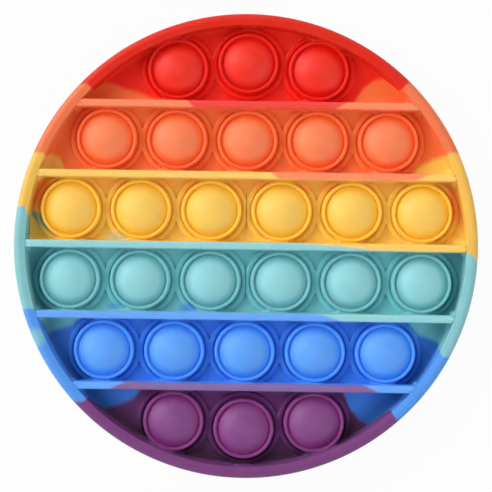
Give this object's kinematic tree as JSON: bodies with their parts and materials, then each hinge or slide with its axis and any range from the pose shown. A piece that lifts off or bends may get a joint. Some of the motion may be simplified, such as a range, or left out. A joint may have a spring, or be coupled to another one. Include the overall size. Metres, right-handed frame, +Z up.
{
  "type": "bubble popping fidget toy",
  "caption": "Round one-piece silicone fidget toy with rows of domed bubbles between straight ribs, which are pressed through to pop.",
  "frame": {"origin": "centre of the underside, on the surface the toy lies on", "axes": "+Z up, to the side the bubbles stand out of; ribs and rows of bubbles run along X; rows follow each other along Y, with the red end at +Y"},
  "size_m": [0.125, 0.125, 0.015],
  "materials": {
    "silicone": "soft-touch satin silicone, moulded in bands of red, orange, yellow, teal, blue and purple that run into each other"
  },
  "bodies": {
    "root": {"bubble_popper": "silicone"}
  },
  "joints": []
}
